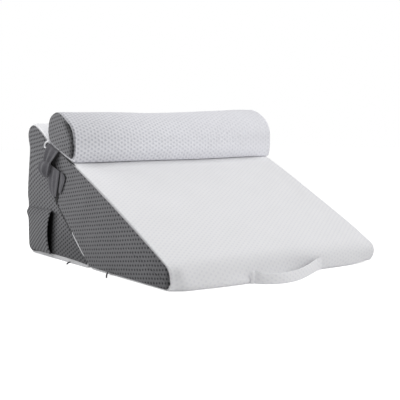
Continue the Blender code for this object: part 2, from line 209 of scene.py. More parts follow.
def front_section(points, x):
    """The front cushion's side outline at x: the slope crowned across the width by a parabola and,
    between its stiff seams, dented by a bell under the roll, raised by smooth steps at the right end,
    the low nose pushed forward at the left, and its foot lifted off the floor at the right end."""
    y, z = points[..., 0], points[..., 1]
    across = x / EDGE
    on_top = np.clip(above_skin(points) / SKIN, 0.0, 1.0)
    crowned = np.clip((z - LIP_TOP) / LIP_FADE, 0.0, 1.0)
    crowned = crowned * np.clip((NOTCH_START - y) / NOTCH_FADE, 0.0, 1.0)
    low = np.clip(1.0 - z / NOSE_BULGE_TOP, 0.0, 1.0) * np.clip(1.0 - y / NOSE_DEPTH, 0.0, 1.0)
    dent = DENT * (1.0 - np.abs(across) ** 6) * bell(y, DENT_Y, DENT_REACH)
    rise = RIGHT_RISE * fade(y, *RIGHT_RISE_Y) + RIGHT_RISE_HIGH * fade(y, *RIGHT_RISE_HIGH_Y)
    rise = rise * fade(x, *RIGHT_RISE_X) * (1.0 - fade(y, *RIGHT_RISE_END_Y))
    up = z + on_top * (TOP_CROWN * (1.0 - across**2) * crowned - dent + rise)
    forward = NOSE_BULGE * bell(x, NOSE_BULGE_X, NOSE_BULGE_REACH) * low * (1.0 - across**8)
    spread = fade(x, *NOSE_SPREAD_LEFT) * (1.0 - fade(x, *NOSE_SPREAD_RIGHT))
    spread = spread * np.clip(1.0 - y / NOSE_DEPTH, 0.0, 1.0)
    spread = spread * np.clip(1.0 - z / NOSE_SPREAD_TOP, 0.0, 1.0)
    forward = forward + NOSE_SPREAD * spread
    lift = fade(x, *NOSE_LIFT_X) * fade(NOSE_DEPTH - y, 0.0, NOSE_DEPTH)
    lift = lift * (1.0 - fade(z, 0.0, NOSE_LIFT_TOP))
    return np.stack((y - forward + NOSE_LIFT * lift, up + NOSE_LIFT * lift), axis=-1)


def cover(rows, section, place, longer, shoulder):
    """A cushion's whole cover as rings of the side outline, from the left end's middle to the
    right's. Near an end the outline is drawn in round a quarter circle, by
    shoulder * (1 - cos(angle)), and past it shrinks to the middle of the swollen end. The right end
    is drawn out by longer."""
    base = outline(rows, CELL)
    count = round(2 * (EDGE - shoulder) / CELL) + 1
    body = np.linspace(-1.0, 1.0, count) * (EDGE - shoulder)
    out = EDGE - shoulder + shoulder * np.sin(SHOULDER_TURNS)
    depth = shoulder * (1.0 - np.cos(SHOULDER_TURNS))
    x = np.concatenate((-out[::-1], body, out))[:, None]
    drawn = np.concatenate((depth[::-1], np.zeros(count), depth))[:, None, None]
    full = (FOOT_DRAWN + (1.0 - FOOT_DRAWN) * fade(base[:, 1], 0.0, FOOT_DRAWN_TOP))[:, None]
    points = section(base + inward(base) * drawn * full, x)
    along = np.dstack((np.broadcast_to(x, points.shape[:2]), points))
    middle = np.array((place["y"], place["z"]))
    ends = []
    for side, rim in ((-1.0, points[0]), (1.0, points[-1])):
        flat = middle + (rim - middle) * np.array(END_SHARES)[:, None, None]
        ends.append(np.dstack((side * (EDGE + swell(flat, place)), flat)))
    rings = np.concatenate((ends[0][::-1], along, ends[1]))
    rings[..., 0] += longer * fade(rings[..., 0], *LONGER_X)
    return rings


def turned(across, up, angle):
    """Cloth coordinates in metres whose second axis runs at the angle to the first given one, so
    that the knit's strongest rows of pits lie square to that angle."""
    c, s = math.cos(angle), math.sin(angle)
    return np.stack((across * s - up * c, across * c + up * s), axis=-1)


def wrap_cloth(rings, angle):
    """Cloth coordinates of a cover: the length over the rings across, and round the middle ring up."""
    length = run(closed(rings[len(rings) // 2]))
    steps = np.median(np.linalg.norm(np.diff(rings, axis=0), axis=2), axis=1)
    across = np.concatenate(((0.0,), np.cumsum(steps))) - steps.sum() / 2
    across, length = np.meshgrid(across, length, indexing="ij")
    return turned(across, -length, angle)


def skin(name, rings, cloth, shade=None, flat_ends=False):
    """A closed mesh through closed rings of points, with one more point in the middle of the first and the
    last. cloth holds the cloth coordinates, with one column more than there are points, and shade(x, y, z)
    the painted light and shade at each point, which the knit multiplies into its colour and sheen: 1 leaves
    them as they are. With flat_ends the first and last ring are closed by strips across, not by fans,
    because those rings are bent."""
    rows, count = rings.shape[:2]
    points = np.concatenate((rings.reshape(-1, 3), rings[[0, -1]].mean(axis=1)))
    i, j = np.meshgrid(np.arange(rows - 1), np.arange(count), indexing="ij")
    k = (j + 1) % count
    quads = np.stack((i * count + j, i * count + k, (i + 1) * count + k, (i + 1) * count + j), axis=-1)
    quad_cloth = np.stack((cloth[i, j], cloth[i, j + 1], cloth[i + 1, j + 1], cloth[i + 1, j]), axis=-2)
    j, k = j[0], k[0]
    last = (rows - 1) * count
    fans = np.concatenate(
        (
            np.stack((np.full(count, rows * count), k, j), axis=1),
            np.stack((np.full(count, rows * count + 1), last + j, last + k), axis=1),
        )
    )
    first_middle, last_middle = cloth[0].mean(axis=0), cloth[-1].mean(axis=0)
    fan_cloth = np.concatenate(
        (
            np.stack((np.broadcast_to(first_middle, (count, 2)), cloth[0, j + 1], cloth[0, j]), axis=1),
            np.stack((np.broadcast_to(last_middle, (count, 2)), cloth[-1, j], cloth[-1, j + 1]), axis=1),
        )
    )
    if flat_ends:
        k = np.arange(count // 2 - 1)
        strip = np.stack((k, k + 1, count - 2 - k, count - 1 - k), axis=1)
        fans = np.concatenate((strip[:, ::-1], strip + last))
        fan_cloth = np.concatenate((cloth[0][strip[:, ::-1]], cloth[-1][strip]))
        points = points[:-2]
    mesh = bpy.data.meshes.new(name)
    mesh.from_pydata(placed(points).tolist(), [], quads.reshape(-1, 4).tolist() + fans.tolist())
    layer = mesh.uv_layers.new(name="cloth")
    flat = np.concatenate((quad_cloth.reshape(-1, 2), fan_cloth.reshape(-1, 2)))
    layer.data.foreach_set("uv", flat.ravel().astype(np.float32))
    painted_shade = np.ones(len(points)) if shade is None else shade(*points.T)
    mesh.attributes.new("shade", "FLOAT", "POINT").data.foreach_set("value", painted_shade.astype(np.float32))
    work = bmesh.new()
    work.from_mesh(mesh)
    bmesh.ops.recalc_face_normals(work, faces=work.faces[:])
    work.to_mesh(mesh)
    work.free()
    mesh.shade_smooth()
    made = bpy.data.objects.new(name, mesh)
    bpy.context.scene.collection.objects.link(made)
    return made


def corners(mesh):
    """The mesh's points as an array with a row for each."""
    flat = np.empty(len(mesh.vertices) * 3, np.float32)
    mesh.vertices.foreach_get("co", flat)
    return flat.reshape(-1, 3).astype(float)


def puffed(piece, free, cap):
    """The cover blown out from its foam by Blender's cloth under air pressure. Points whose share in
    free is 0 are held, and each other point moves at most cap times its share."""
    start = corners(piece.data)
    group = piece.vertex_groups.new(name="seams")
    group.add(np.flatnonzero(free <= 0.0).tolist(), 1.0, "REPLACE")
    soft = piece.modifiers.new("cover", "CLOTH")
    soft.settings.vertex_group_mass = "seams"
    soft.settings.use_pressure = True
    soft.settings.uniform_pressure_force = CLOTH_PRESSURE
    soft.settings.effector_weights.gravity = 0.0
    soft.point_cache.frame_end = CLOTH_FRAMES
    for step in range(1, CLOTH_FRAMES + 1):
        bpy.context.scene.frame_set(step)
    moved = piece.evaluated_get(bpy.context.evaluated_depsgraph_get()).to_mesh()
    move = corners(moved) - start
    piece.modifiers.remove(soft)
    piece.vertex_groups.remove(group)
    bpy.context.scene.frame_set(1)
    far = np.linalg.norm(move, axis=1, keepdims=True)
    move = move / np.maximum(far, 1e-9) * cap * np.tanh(far / cap) * free[:, None]
    piece.data.vertices.foreach_set("co", (start + move).ravel().astype(np.float32))
    piece.data.update()


def smoothed(piece, levels):
    """Subdivides a piece's faces evenly in its own mesh."""
    finer = piece.modifiers.new("finer", "SUBSURF")
    finer.levels = levels
    finer.render_levels = levels


def linear(code):
    """An sRGB hex colour as linear red, green, blue and alpha."""
    parts = np.array([int(code[i : i + 2], 16) for i in (1, 3, 5)]) / 255
    parts = np.where(parts <= 0.04045, parts / 12.92, ((parts + 0.055) / 1.055) ** 2.4)
    return (*parts.tolist(), 1.0)


def add(tree, kind, inputs, **settings):
    """Adds a shader node with its settings. inputs gives a value or a socket to link for each input."""
    made = tree.nodes.new(kind)
    for name, value in settings.items():
        setattr(made, name, value)
    for name, value in inputs.items():
        if isinstance(value, bpy.types.NodeSocket):
            tree.links.new(value, made.inputs[name])
        else:
            made.inputs[name].default_value = value
    return made.outputs


def knit(name, yarn, pit_shade, depth, shares, pit_edge, mottle, ease=0.0):
    """Pitted air-layer knit. Three cosine waves at 60 degrees to each other, times their shares and
    added up, peak at the pits of a triangular lattice; unequal shares draw the pits into rows. Pits
    begin where the sum passes pit_edge, and get shallower by ease from the left end to the right."""
    made = bpy.data.materials.new(name)
    made.use_nodes = True
    tree = made.node_tree
    shader = tree.nodes["Principled BSDF"]
    cloth = add(tree, "ShaderNodeUVMap", {}, uv_map="cloth")[0]
    # The knit is a little uneven: its rows stray by about half a millimetre.
    stray = add(tree, "ShaderNodeTexNoise", {"Vector": cloth, "Scale": STRAY_SCALE, "Detail": 2.0})["Color"]
    stray = add(tree, "ShaderNodeVectorMath", {0: stray, 1: (0.5, 0.5, 0.5)}, operation="SUBTRACT")[0]
    stray = add(tree, "ShaderNodeVectorMath", {0: stray, 1: (STRAY, STRAY, 0.0)}, operation="MULTIPLY")[0]
    cloth = add(tree, "ShaderNodeVectorMath", {0: cloth, 1: stray}, operation="ADD")[0]
    turns = 2 * math.pi / PIT_ROWS
    total = 0.0
    for share, angle in zip(shares, np.radians((90.0, 150.0, 210.0)).tolist()):
        way = (math.cos(angle) * turns, math.sin(angle) * turns, 0.0)
        phase = add(tree, "ShaderNodeVectorMath", {0: cloth, 1: way}, operation="DOT_PRODUCT")["Value"]
        wave = add(tree, "ShaderNodeMath", {0: phase}, operation="COSINE")[0]
        total = add(tree, "ShaderNodeMath", {0: wave, 1: share, 2: total}, operation="MULTIPLY_ADD")[0]
    spread = {"Value": total, "From Min": pit_edge, "From Max": sum(shares)}
    pits = add(tree, "ShaderNodeMapRange", spread, interpolation_type="SMOOTHSTEP")[0]
    place = add(tree, "ShaderNodeTexCoord", {})["Object"]
    place = add(tree, "ShaderNodeSeparateXYZ", {0: place})[0]
    span = {"Value": place, "From Min": -WIDTH / 2, "From Max": WIDTH / 2, "To Max": 1.0 - ease}
    span["To Min"] = 1.0
    eased_off = add(tree, "ShaderNodeMapRange", span)[0]
    pits = add(tree, "ShaderNodeMath", {0: pits, 1: eased_off}, operation="MULTIPLY")[0]
    # Loops of yarn, about 1 mm in the real knit, drawn twice as coarse so that they show.
    loops = add(tree, "ShaderNodeTexNoise", {"Vector": cloth, "Scale": LOOP_SCALE, "Detail": 2.0})["Fac"]
    loop_height = add(tree, "ShaderNodeMath", {0: loops, 1: LOOP_HEIGHT}, operation="MULTIPLY")[0]
    height = add(tree, "ShaderNodeMath", {0: pits, 1: -depth, 2: loop_height}, operation="MULTIPLY_ADD")[0]
    # Worn and brushed places reflect a few percent more or less light, over some centimetres.
    broad = add(tree, "ShaderNodeTexNoise", {"Vector": cloth, "Scale": MOTTLE_SCALE, "Detail": 3.0})["Fac"]
    mottled = {"From Min": 0.3, "From Max": 0.7, "To Min": 1.0 - mottle, "To Max": 1.0 + mottle}
    broad = add(tree, "ShaderNodeMapRange", {"Value": broad, **mottled})[0]
    speck = add(tree, "ShaderNodeMapRange", {"Value": loops, **mottled})[0]
    light = add(tree, "ShaderNodeMath", {0: broad, 1: speck}, operation="MULTIPLY")[0]
    # Painted light and shade: each mesh's shade attribute scales the colour and the sheen, darker where the
    # cushions lie in shade.
    painted_shade = add(tree, "ShaderNodeAttribute", {}, attribute_name="shade")["Fac"]
    light = add(tree, "ShaderNodeMath", {0: light, 1: painted_shade}, operation="MULTIPLY")[0]
    # The pits are dented by the bump and painted in the darker pit colour, which stands in for the shade
    # that falls in them.
    tones = {0: pits, 6: linear(yarn), 7: linear(pit_shade)}
    colour = add(tree, "ShaderNodeMix", tones, data_type="RGBA")[2]
    colour = add(tree, "ShaderNodeVectorMath", {0: colour, "Scale": light}, operation="SCALE")[0]
    tree.links.new(colour, shader.inputs["Base Color"])
    normal = add(tree, "ShaderNodeBump", {"Height": height, "Distance": 1.0, "Strength": 1.0})[0]
    tree.links.new(normal, shader.inputs["Normal"])
    shader.inputs["Roughness"].default_value = 0.92
    sheen = add(tree, "ShaderNodeMath", {0: painted_shade, 1: SHEEN}, operation="MULTIPLY")[0]
    tree.links.new(sheen, shader.inputs["Sheen Weight"])
    shader.inputs["Sheen Roughness"].default_value = 0.6
    shader.inputs["Specular IOR Level"].default_value = 0.25
    return made


# Two thin knit faces of white polyester yarn with air between them. It looks matt and soft, and its
# pits are so flat here that they show only as faint dots.
white_knit = knit(
    "white air-layer knit", WHITE_YARN, WHITE_PIT_SHADE,
    depth=0.00022, shares=(1.5, 0.75, 0.75), pit_edge=-0.4, mottle=0.01,
)


def slope_shade(x, y, z):
    """Less light on the nose's face, in a soft crease at its left corner, and under the roll's front."""
    crease = bell(x, *CREASE_X) * bell(z, *CREASE_Z) * bell(y, *CREASE_Y)
    under = fade(y, *UNDER_ROLL_START_Y) * (1.0 - fade(y, *UNDER_ROLL_STOP_Y))
    under = under * fade(EDGE - np.abs(x), *UNDER_ROLL_SIDE)
    on_slope = (1.0 - CREASE_SHADE * crease) * (1.0 - UNDER_ROLL_SHADE * under)
    return on_slope * (1.0 - NOSE_SHADE * bell(y, *NOSE_SHADE_Y))


front_rings = cover(FRONT_OUTLINE, front_section, FRONT_SWELL, LONGER, SHOULDER)
front_cover = skin("front_cover", front_rings, wrap_cloth(front_rings, SLOPE_TURN), slope_shade)
front_cover.data.materials.append(white_knit)


def loose(piece, kept):
    """Each point's share of the puff: 0 on the floor and at the sewn ends, rising over some
    centimetres, and times kept(y, z), which is 0 where the cover lies against another cushion."""
    x, y, z = (corners(piece.data) + MIDDLE).T
    return fade(z, *LOOSE_FOOT_Z) * fade(EDGE - np.abs(x), *LOOSE_SIDE) * kept(y, z)


def front_kept(y, z):
    """1 on the slope and nose, 0 under the roll and on the joint face."""
    on_top = above_skin(np.stack((y, z), axis=-1)) > 0.0
    return 1.0 - np.where(on_top, fade(y, *HELD_UNDER_ROLL_Y), fade(y, *HELD_AT_JOINT_Y))


puffed(front_cover, loose(front_cover, front_kept), PUFF)
smoothed(front_cover, 1)
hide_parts("front_cushion")
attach(front_cover, "root")

# Rear cushion. A foam block with a leaning front face, which carries the wedge's high edge. Its
# white cover is one band round back, top, joint and foot, in the same knit as the front one's.
BACK = 0.632
REAR_OUTLINE = (
    (FRONT_FOOT + 0.0005, 0.000, 0.008, 0.0),
    (BACK + 0.003, 0.000, 0.018, 0.004),
    (BACK - 0.006, 0.268, 0.060, 0.0),
    (BACK + 0.004, 0.3540, 0.026, 0.003),
    (0.5235, 0.2900, 0.014, 0.0),
    (0.4842, 0.1460, 0.100, 0.0),
)
REAR_SWELL = {"y": 0.560, "z": 0.160, "reach_y": 0.26, "reach_z": 0.26, "height": 0.004}
WALL_START = 0.600
WALL_FADE = 0.030
WALL_FOOT = 0.050
# The back edge of the left side wavers where the seam pulls it: heights, and how far it stands out.
WAVER_HEIGHTS = (0.130, 0.150, 0.175, 0.215, 0.245, 0.262, 0.272, 0.287, 0.300, 0.320)
WAVER = (0.000, 0.005, 0.0035, 0.000, -0.003, -0.005, -0.0055, 0.000, 0.002, 0.002)
WAVER_REACH = 0.070
LOOSE_WALL_Y = (0.600, 0.620)
LOOSE_TOP_Y = (0.545, 0.575)
LOOSE_TOP_Z = (0.290, 0.300)
FOOT_LIGHT = 0.80
FOOT_LIGHT_Z = (0.006, 0.030)
TOP_LIGHT = 0.05
TOP_LIGHT_Z = (0.270, 0.300)
BACK_TURN = math.radians(61.0)


def rear_section(points, x):
    """The rear cushion's side outline at x: the back wall crowned across the width by a parabola,
    and its left edge moved by the waver's table, which a bell fades out to the right."""
    y, z = points[..., 0], points[..., 1]
    wall = np.clip((y - WALL_START) / WALL_FADE, 0.0, 1.0) * np.clip(z / WALL_FOOT, 0.0, 1.0)
    waver = np.interp(z, WAVER_HEIGHTS, WAVER, left=0.0) * bell(x, -EDGE, WAVER_REACH)
    y = y + (TOP_CROWN * (1.0 - (x / EDGE) ** 2) + waver) * wall
    return np.stack(np.broadcast_arrays(y, z), axis=-1)


def rear_kept(y, z):
    """1 on the back wall and on the top behind the notch, 0 on the joint face and the foot."""
    return np.maximum(fade(y, *LOOSE_WALL_Y), fade(y, *LOOSE_TOP_Y) * fade(z, *LOOSE_TOP_Z))


def foot_shade(x, y, z):
    """Less light reaches the lowest centimetres, near the floor, and a little more the top."""
    low = FOOT_LIGHT + (1.0 - FOOT_LIGHT) * fade(z, *FOOT_LIGHT_Z)
    return low + TOP_LIGHT * fade(z, *TOP_LIGHT_Z)


rear_rings = cover(REAR_OUTLINE, rear_section, REAR_SWELL, LONGER, SHOULDER)
rear_cover = skin("rear_cover", rear_rings, wrap_cloth(rear_rings, BACK_TURN), foot_shade)
rear_cover.data.materials.append(white_knit)
puffed(rear_cover, loose(rear_cover, rear_kept), PUFF)
smoothed(rear_cover, 1)
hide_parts("rear_cushion")
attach(rear_cover, "root")

# Roll cushion. A D-shaped foam bolster that lies across the slope below the notch, thicker towards
# its right end. Its white cover shows the pits best, because it is stretched round the curve.
ROLL_OUTLINE = (
    (0.068, -0.003, 0.022, 0.002),
    (0.092, 0.050, 0.028, 0.0),
    (0.056, 0.087, 0.040, 0.001),
    (-0.036, 0.082, 0.046, 0.003),
    (-0.065, -0.005, 0.013, 0.0),
)
ROLL_SHOULDER = 0.0020
ROLL_LONGER = 0.007
ROLL_SEAT_Y = 0.452
ROLL_SEAT_Z = 0.2605
ROLL_GROWTH = 0.12
ROLL_GROWTH_START = -0.060
ROLL_GROWTH_POWER = 1.2
ROLL_GROWTH_ALONG = 0.75
ROLL_HUMP = 0.0025
ROLL_HUMP_X = -0.150
ROLL_HUMP_REACH = 0.110
ROLL_HUMP_HEIGHT = 0.060
ROLL_DOME = 0.006
ROLL_DOME_ALONG = 0.012
ROLL_DOME_REACH = 0.040
LIE_GAP = 0.0008
ROLL_SWELL = {"y": 0.452, "z": 0.305, "reach_y": 0.10, "reach_z": 0.085, "height": 0.007}
ROLL_TURN = math.radians(58.0)
ROLL_PUFF = 0.0045
# How far above the slope the roll's cover comes loose.
ROLL_LOOSE = (0.006, 0.035)
ROLL_YARN = "#F0F0F5"
# The pits' colour is painted shade, darker for the shade that falls in them.
ROLL_PIT_SHADE = "#D2D3DA"
ROLL_LEFT_LIGHT = 0.83
ROLL_LIGHT_GAIN = 0.13
ROLL_LIGHT_X = (-0.320, -0.060)
ROLL_FOOT_LIGHT = 0.09
ROLL_FOOT_Z = (0.262, 0.300)


def slope_top(x, y):
    """The height of the front cushion's slope under each y, from its own outline at each x."""
    base = outline(FRONT_OUTLINE, CELL / 2)
    under = np.empty_like(y)
    for i, station in enumerate(x.ravel()):
        top = front_section(base, station)
        top = top[above_skin(top) > 0.0]
        top = top[np.argsort(top[:, 0])]
        under[i] = np.interp(y[i], top[:, 0], top[:, 1])
    return under


def roll_section(points, x):
    """The roll's outline at x, from slope measures: it grows towards the right by a power of x and a
    bell, has a hump at the left, is turned by the slope's angle and lies on the slope's cover."""
    points = np.broadcast_to(points, np.broadcast_shapes(points.shape[:-1], x.shape) + (2,))
    share = np.clip((x - ROLL_GROWTH_START) / WIDTH * 2, 0.0, 1.0) ** ROLL_GROWTH_POWER
    along = points[..., 0] * (1.0 + ROLL_GROWTH * share * ROLL_GROWTH_ALONG)
    up = points[..., 1] * (1.0 + ROLL_GROWTH * share)
    dome = ROLL_DOME * share * bell(points[..., 0], ROLL_DOME_ALONG, ROLL_DOME_REACH)
    dome = dome + ROLL_HUMP * bell(x, ROLL_HUMP_X, ROLL_HUMP_REACH)
    up = up + dome * np.clip(up / ROLL_HUMP_HEIGHT, 0.0, 1.0)
    c, s = math.cos(SLOPE_ANGLE), math.sin(SLOPE_ANGLE)
    y, z = ROLL_SEAT_Y + along * c - up * s, ROLL_SEAT_Z + along * s + up * c
    return np.stack((y, np.maximum(z, slope_top(x, y) + LIE_GAP)), axis=-1)


def roll_kept(y, z):
    """0 on the underside, rising to 1 some centimetres above the slope's line."""
    above = z - ROLL_SEAT_Z - (y - ROLL_SEAT_Y) * math.tan(SLOPE_ANGLE)
    return fade(above, *ROLL_LOOSE)


# Stretched round the curve, the same knit opens its pits: their dents and painted shade are deep and clear
# at the left end, and shallower to the right.
roll_knit = knit(
    "white air-layer knit, stretched", ROLL_YARN, ROLL_PIT_SHADE,
    depth=0.0012, shares=(1.1, 1.0, 0.9), pit_edge=-1.3, mottle=0.01, ease=0.65,
)


def roll_shade(x, y, z):
    """Less light reaches the left end, and the slope throws a little more on the front's foot."""
    along = ROLL_LEFT_LIGHT + ROLL_LIGHT_GAIN * fade(x, *ROLL_LIGHT_X)
    return along * (1.0 + ROLL_FOOT_LIGHT * (1.0 - fade(z, *ROLL_FOOT_Z)))


roll_rings = cover(ROLL_OUTLINE, roll_section, ROLL_SWELL, ROLL_LONGER, ROLL_SHOULDER)
roll_cover = skin("roll_cover", roll_rings, wrap_cloth(roll_rings, ROLL_TURN), roll_shade)
roll_cover.data.materials.append(roll_knit)
puffed(roll_cover, loose(roll_cover, roll_kept), ROLL_PUFF)
smoothed(roll_cover, 1)
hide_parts("roll_cushion")
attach(roll_cover, "root")

# Side and end panels. Sheets of the same knit in dark melange grey, cut to each cushion's end and
# sewn to its white band, so that they bulge a little and turn in at the seam.
GREY_YARN = "#737376"
# The pits' colour is painted shade, near black for the shade that falls in them.
GREY_PIT_SHADE = "#2A2A2D"
FRONT_PANEL = (
    (FRONT_FOOT, 0.006, 0.006, 0.0),
    (0.4810, 0.148, 0.100, 0.0),
    (0.5200, 0.2890, 0.016, 0.0080),
    (0.000, 0.0435, 0.032, 0.0042),
    (0.006, 0.003, 0.012, 0.0),
)
REAR_PANEL = (
    (FRONT_FOOT + 0.006, 0.008, 0.006, -0.005),
    (BACK + 0.001, 0.006, 0.017, 0.003),
    (BACK - 0.009, 0.268, 0.060, 0.0),
    (BACK + 0.002, 0.3490, 0.026, 0.002),
    (0.5265, 0.2890, 0.014, 0.0),
    (0.4865, 0.1470, 0.100, 0.0),
)
# The roll's ends are cut short at the foot, where a sliver of the white band shows.
ROLL_PANEL = (
    (0.066, 0.0030, 0.020, 0.002),
    (0.0905, 0.050, 0.028, 0.0),
    (0.0555, 0.086, 0.040, 0.001),
    (-0.0355, 0.0815, 0.046, 0.003),
    (-0.0600, 0.0110, 0.012, 0.0),
)
# A right end is hidden by its white band from the front, and is cut this much smaller all round.
RIGHT_INSET = 0.004
ROLL_RIGHT_INSET = 0.008
WIDE_CORNER = 0.020
RIM_DEPTHS = np.array((0.0, 0.0006, 0.0016, 0.0030, 0.0050))
RIM_EDGE = 0.0005
INNER_SHARES = (0.3, 0.6, 0.85)
REAR_LEAN = -0.40
REAR_LEAN_Z = (0.16, 0.27)
FINE_CELL = 0.0045
WAVE_HEIGHT = 0.0006
FRONT_TURN = math.radians(82.0)
REAR_TURN = math.radians(61.0)
END_TURN = math.radians(80.0)

# Melange yarn is spun of dark and light fibres, so the grey is matt and a little mottled. Its pits are
# painted near black, for the shade in them. Where the rear panel is pulled tight, they run together into
# rows.
GREY = {"yarn": GREY_YARN, "pit_shade": GREY_PIT_SHADE, "depth": 0.0009, "mottle": 0.05}
grey_knit = knit("grey melange air-layer knit", shares=(1.3, 0.9, 0.8), pit_edge=-1.0, **GREY)
row_knit = knit("grey melange air-layer knit, pulled", shares=(1.4, 0.9, 0.5), pit_edge=-1.2, **GREY)


def uneven(y, z, height):
    """A sheet's slight unevenness: three sine waves some centimetres long, crossing each other."""
    waves = np.sin(y / 0.013 + 2.0 * np.sin(z / 0.031)) * np.sin(z / 0.017 + 1.3)
    return height * (0.6 * waves + 0.4 * np.sin((y + z) / 0.027 + 0.7))


def end_sheet(name, node, rows, section, side, place, turn, finish, shade, lean, inset, longer):
    """A cushion's grey end, as rings from the middle of its inner face to the seam and back over
    its outer face. The outer face turns in at the seam round a quarter ellipse. A right end is moved
    in by the inset, from corners that much rounder, and out to the right by longer. Behind a wide
    corner its edge isn't bowed, because the arcs leave too little of it."""
    step = CELL if side > 0 else FINE_CELL
    if side > 0:
        rounder = [
            (y, z, radius + inset, bow if radius < WIDE_CORNER else 0.0) for y, z, radius, bow in rows
        ]
        cut = outline(rounder, step)
        cut = cut + inward(cut) * inset
    else:
        cut = outline(rows, step)
    base = section(cut, np.full(1, side * EDGE))
    middle = np.array((place["y"], place["z"]))
    rim = base + inward(base) * RIM_DEPTHS[:, None, None]
    count = round(float(np.linalg.norm(base - middle, axis=1).max()) / step)
    shares = np.linspace(1.0, 0.0, count + 1)[1:-1, None, None]
    outer = np.concatenate((rim, middle + (rim[-1] - middle) * shares))
    inner = middle + (base - middle) * np.array(INNER_SHARES)[:, None, None]
    turn_in = np.sqrt(1.0 - (1.0 - RIM_DEPTHS / RIM_DEPTHS[-1]) ** 2)
    thick = RIM_EDGE + (PANEL - RIM_EDGE) * np.concatenate((turn_in, np.ones(count - 1)))[:, None]
    wave = uneven(outer[..., 0], outer[..., 1], WAVE_HEIGHT) * (thick - RIM_EDGE) / PANEL
    far = np.concatenate((np.zeros(inner.shape[:2]), thick + wave))
    flat = np.concatenate((inner, outer))
    x = side * (EDGE + SIDE_GAP + swell(flat, place) + far) + (longer if side > 0 else 0.0)
    rings = np.dstack((x, flat))
    around = closed(flat)
    y, z = around[..., 0], around[..., 1]
    cloth = turned(y, z if lean is None else z + lean(y, z), turn)
    made = skin(name, rings, cloth, shade if side < 0 else None)
    made.data.materials.append(finish)
    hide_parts(node)
    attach(made, "root")


def rear_lean(y, z):
    """Above the pocket the rear panel's rows of pits come level: a shear that grows upwards."""
    return REAR_LEAN * fade(z, *REAR_LEAN_Z) * (y - REAR_SWELL["y"])


# Heights up the pocket's mouth and how far back its shade begins, and the same for the roll's front.
MOUTH_HEIGHTS = (0.010, 0.029, 0.049, 0.077, 0.102, 0.111, 0.121)
MOUTH_BACKS = (0.502, 0.506, 0.504, 0.499, 0.491, 0.488, 0.488)
ROLL_FRONT_HEIGHTS = (0.250, 0.264, 0.281, 0.293, 0.310, 0.329, 0.344)
ROLL_FRONTS = (0.386, 0.385, 0.380, 0.381, 0.389, 0.405, 0.422)
# The light on the panels: how much is lost or left, and the stretch of y or z over which it fades.
BESIDE_TIE_SHADE = 0.60
BESIDE_TIE_PLACE = (0.476, 0.243)
BESIDE_TIE_REACH = 0.024
NOSE_EDGE_SHADE = 0.35
NOSE_EDGE_Y = (0.006, 0.018)
NOSE_EDGE_Z = (0.035, 0.060)
NOSE_END_LIGHT = 0.80
NOSE_END_Y = (0.0, 0.120)
HELD_OPEN_Y = (0.600, 0.618)
HELD_OPEN_Z = (0.112, 0.122)
BEFORE_MOUTH_SHADE = 0.70
BEFORE_MOUTH = (0.0, 0.036)
MOUTH_SHADE = 0.97
MOUTH_EDGE = (-0.004, 0.003)
REAR_FOOT_LIGHT = 0.72
REAR_FOOT_Z = (0.03, 0.13)
ROLL_END_LIGHT = 1.10
ROLL_SEAM_SHADE = 0.80
ROLL_SEAM = (0.006, 0.030)
ROLL_SEAM_Z = (0.328, 0.345)


def front_shade(x, y, z):
    """Darker beside the tie, by a round bell, and towards the nose."""
    far = np.hypot(y - BESIDE_TIE_PLACE[0], z - BESIDE_TIE_PLACE[1])
    edge = 1.0 - NOSE_EDGE_SHADE * (1.0 - fade(y, *NOSE_EDGE_Y)) * (1.0 - fade(z, *NOSE_EDGE_Z))
    beside = 1.0 - BESIDE_TIE_SHADE * bell(far, 0.0, BESIDE_TIE_REACH)
    return edge * beside * (NOSE_END_LIGHT + (1.0 - NOSE_END_LIGHT) * fade(y, *NOSE_END_Y))


def rear_shade(x, y, z):
    """Black behind the pocket's mouth and fading out in front of it and at the pocket's back seam,
    and darker at the foot."""
    beyond = y - np.interp(z, MOUTH_HEIGHTS, MOUTH_BACKS)
    held_open = (1.0 - fade(z, *HELD_OPEN_Z)) * (1.0 - fade(y, *HELD_OPEN_Y))
    near = BEFORE_MOUTH_SHADE * (1.0 - fade(-beyond, *BEFORE_MOUTH)) * held_open
    inside = MOUTH_SHADE * fade(beyond, *MOUTH_EDGE) * held_open
    low = REAR_FOOT_LIGHT + (1.0 - REAR_FOOT_LIGHT) * fade(z, *REAR_FOOT_Z)
    return (1.0 - near) * (1.0 - inside) * low


def roll_end_shade(x, y, z):
    """Darker along the front seam, where the end turns away from the light."""
    ahead = y - np.interp(z, ROLL_FRONT_HEIGHTS, ROLL_FRONTS)
    seam = (1.0 - fade(ahead, *ROLL_SEAM)) * (1.0 - fade(z, *ROLL_SEAM_Z))
    return ROLL_END_LIGHT - ROLL_SEAM_SHADE * seam


for word, side in (("left", -1.0), ("right", 1.0)):
    end_sheet(
        "front_panel_" + word, "front_side_" + word, FRONT_PANEL, front_section, side, FRONT_SWELL,
        FRONT_TURN, grey_knit, front_shade, None, RIGHT_INSET, LONGER,
    )
    end_sheet(
        "rear_panel_" + word, "rear_side_" + word, REAR_PANEL, rear_section, side, REAR_SWELL,
        REAR_TURN, row_knit, rear_shade, rear_lean, RIGHT_INSET, LONGER,
    )
    end_sheet(
        "roll_panel_" + word, "roll_end_" + word, ROLL_PANEL, roll_section, side, ROLL_SWELL,
        END_TURN, grey_knit, roll_end_shade, None, ROLL_RIGHT_INSET, ROLL_LONGER,
    )

